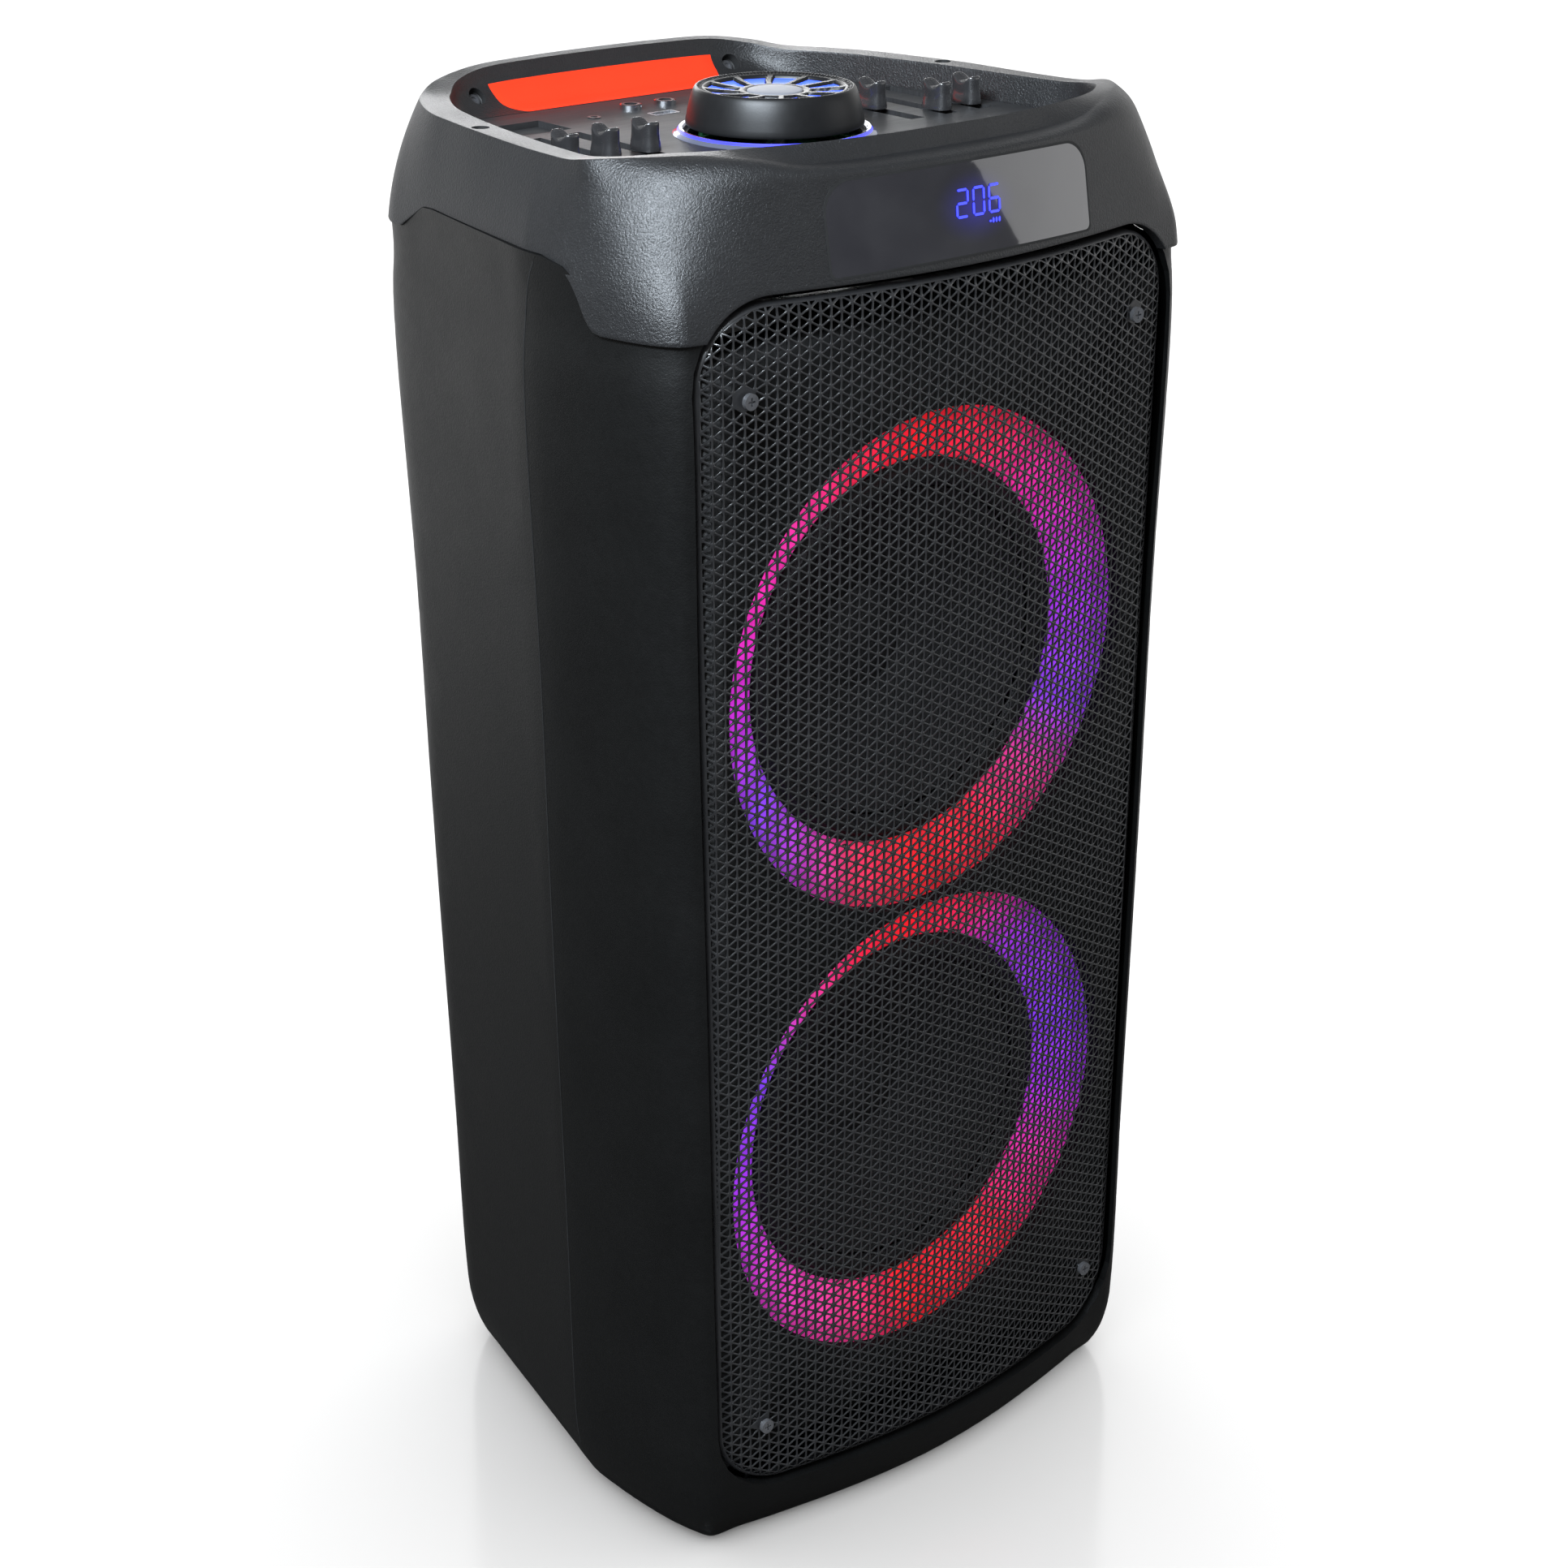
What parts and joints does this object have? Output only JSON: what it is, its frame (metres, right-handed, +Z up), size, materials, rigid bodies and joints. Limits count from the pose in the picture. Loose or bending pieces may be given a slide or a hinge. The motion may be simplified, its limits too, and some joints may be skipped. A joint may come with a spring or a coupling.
{
  "type": "party speaker",
  "caption": "Tall free-standing party loudspeaker with light rings behind a metal grille, and a top deck with a dial, faders, display and microphone sockets.",
  "frame": {"origin": "on the floor, under the middle of the case's footprint box", "axes": "+Z up, -Y towards the grille side, +X to the right seen from the front"},
  "size_m": [0.333, 0.2826, 0.6885],
  "materials": {
    "case_black": "moulded ABS, fine spark texture",
    "hood_black": "moulded ABS, fine spark texture",
    "grille_steel": "satin black powder coat",
    "screw_black": "black zinc",
    "screw_zinc": "bright zinc",
    "screen_gloss": "polished smoked acrylic",
    "board_green": "solder mask",
    "deck_brushed": "brushed dark satin",
    "insert_red": "satin orange red",
    "knob_black": "satin with knurled rim",
    "knob_grey": "satin",
    "fader_black": "satin",
    "clear_ring": "clear acrylic",
    "light_guide": "translucent, lit blue",
    "ring_diffuser": "translucent, lit in changing colours",
    "jack_black": "moulded nylon",
    "chrome_nut": "polished",
    "socket_steel": "stamped shell",
    "baffle_board": "black stained fibreboard",
    "frame_steel": "stamped steel, black",
    "magnet_ferrite": "ferrite",
    "cone_paper": "coated pulp",
    "surround_rubber": "matt",
    "spider_cloth": "phenolic cloth",
    "plate_metal": "black anodised",
    "heat_sink": "extruded",
    "battery_wrap": "shrink wrap",
    "bracket_steel": "folded sheet",
    "foot_rubber": "matt",
    "cable_black": "PVC",
    "pillar_brass": "turned"
  },
  "bodies": {
    "case": {"front_bezel": "case_black", "rear_cabinet": "case_black", "top_hood": "hood_black", "front_grille": "grille_steel", "grille_screws": "screw_black", "front_baffle": "baffle_board", "light_ring_upper": "ring_diffuser", "light_ring_lower": "ring_diffuser", "ring_light_boards": "board_green", "woofer_frame_upper": "frame_steel", "woofer_frame_lower": "frame_steel", "woofer_magnet_upper": "magnet_ferrite", "woofer_magnet_lower": "magnet_ferrite", "woofer_surrounds": "surround_rubber", "woofer_spiders": "spider_cloth", "driver_screws": "screw_zinc", "case_screws": "screw_zinc", "control_panel": "deck_brushed", "control_board": "board_green", "fader_tracks": "bracket_steel", "halo_ring": "clear_ring", "halo_light_board": "board_green", "dial_encoder": "bracket_steel", "mic_jacks": "jack_black", "jack_nuts": "chrome_nut", "aux_jack": "jack_black", "usb_socket": "socket_steel", "display_window": "screen_gloss", "display_board": "board_green", "handle_insert": "insert_red", "hood_screws": "screw_black", "rear_plate": "plate_metal", "plate_screws": "screw_black", "mains_inlet": "jack_black", "rocker_housing": "jack_black", "bass_port": "case_black", "amplifier_board": "board_green", "board_pillars": "pillar_brass", "heat_sink": "heat_sink", "power_supply": "board_green", "battery_pack": "battery_wrap", "battery_bracket": "bracket_steel", "rubber_feet": "foot_rubber", "foot_screws": "screw_zinc", "speaker_leads": "cable_black", "mains_lead": "cable_black", "deck_lead": "cable_black"},
    "dial": {"dial_knob": "knob_black", "dial_lights": "light_guide", "dial_shaft": "bracket_steel"},
    "dial_button": {"dial_cap": "knob_grey"},
    "fader_1": {"fader_cap_1": "fader_black"},
    "fader_2": {"fader_cap_2": "fader_black"},
    "fader_3": {"fader_cap_3": "fader_black"},
    "fader_4": {"fader_cap_4": "fader_black"},
    "fader_5": {"fader_cap_5": "fader_black"},
    "fader_6": {"fader_cap_6": "fader_black"},
    "cone_upper": {"woofer_cone_upper": "cone_paper"},
    "cone_lower": {"woofer_cone_lower": "cone_paper"},
    "rocker": {"power_rocker": "fader_black"}
  },
  "joints": [
    {"name": "dial_turn", "type": "hinge", "parent": "case", "child": "dial", "pos_m": [0, -0.0013, 0.68], "axis": [0, 0, 1], "continuous": true},
    {"name": "dial_press", "type": "slide", "parent": "dial", "child": "dial_button", "axis": [0, 0, -1], "range_m": [0, 0.0012], "stiffness_N_per_m": 900},
    {"name": "fader_1_slide", "type": "slide", "parent": "case", "child": "fader_1", "axis": [0, 1, 0], "range_m": [-0.011, 0.049]},
    {"name": "fader_2_slide", "type": "slide", "parent": "case", "child": "fader_2", "axis": [0, 1, 0], "range_m": [-0.011, 0.049]},
    {"name": "fader_3_slide", "type": "slide", "parent": "case", "child": "fader_3", "axis": [0, 1, 0], "range_m": [-0.011, 0.049]},
    {"name": "fader_4_slide", "type": "slide", "parent": "case", "child": "fader_4", "axis": [0, 1, 0], "range_m": [-0.026, 0.034]},
    {"name": "fader_5_slide", "type": "slide", "parent": "case", "child": "fader_5", "axis": [0, 1, 0], "range_m": [-0.004, 0.056]},
    {"name": "fader_6_slide", "type": "slide", "parent": "case", "child": "fader_6", "axis": [0, 1, 0], "range_m": [-0.007, 0.053]},
    {"name": "cone_upper_stroke", "type": "slide", "parent": "case", "child": "cone_upper", "axis": [0, -1, 0], "range_m": [-0.005, 0.005], "stiffness_N_per_m": 2500},
    {"name": "cone_lower_stroke", "type": "slide", "parent": "case", "child": "cone_lower", "axis": [0, -1, 0], "range_m": [-0.005, 0.005], "stiffness_N_per_m": 2500},
    {"name": "rocker_tilt", "type": "hinge", "parent": "case", "child": "rocker", "pos_m": [0.046, 0.1404, 0.108], "axis": [1, 0, 0], "range_deg": [-7, 7]}
  ]
}
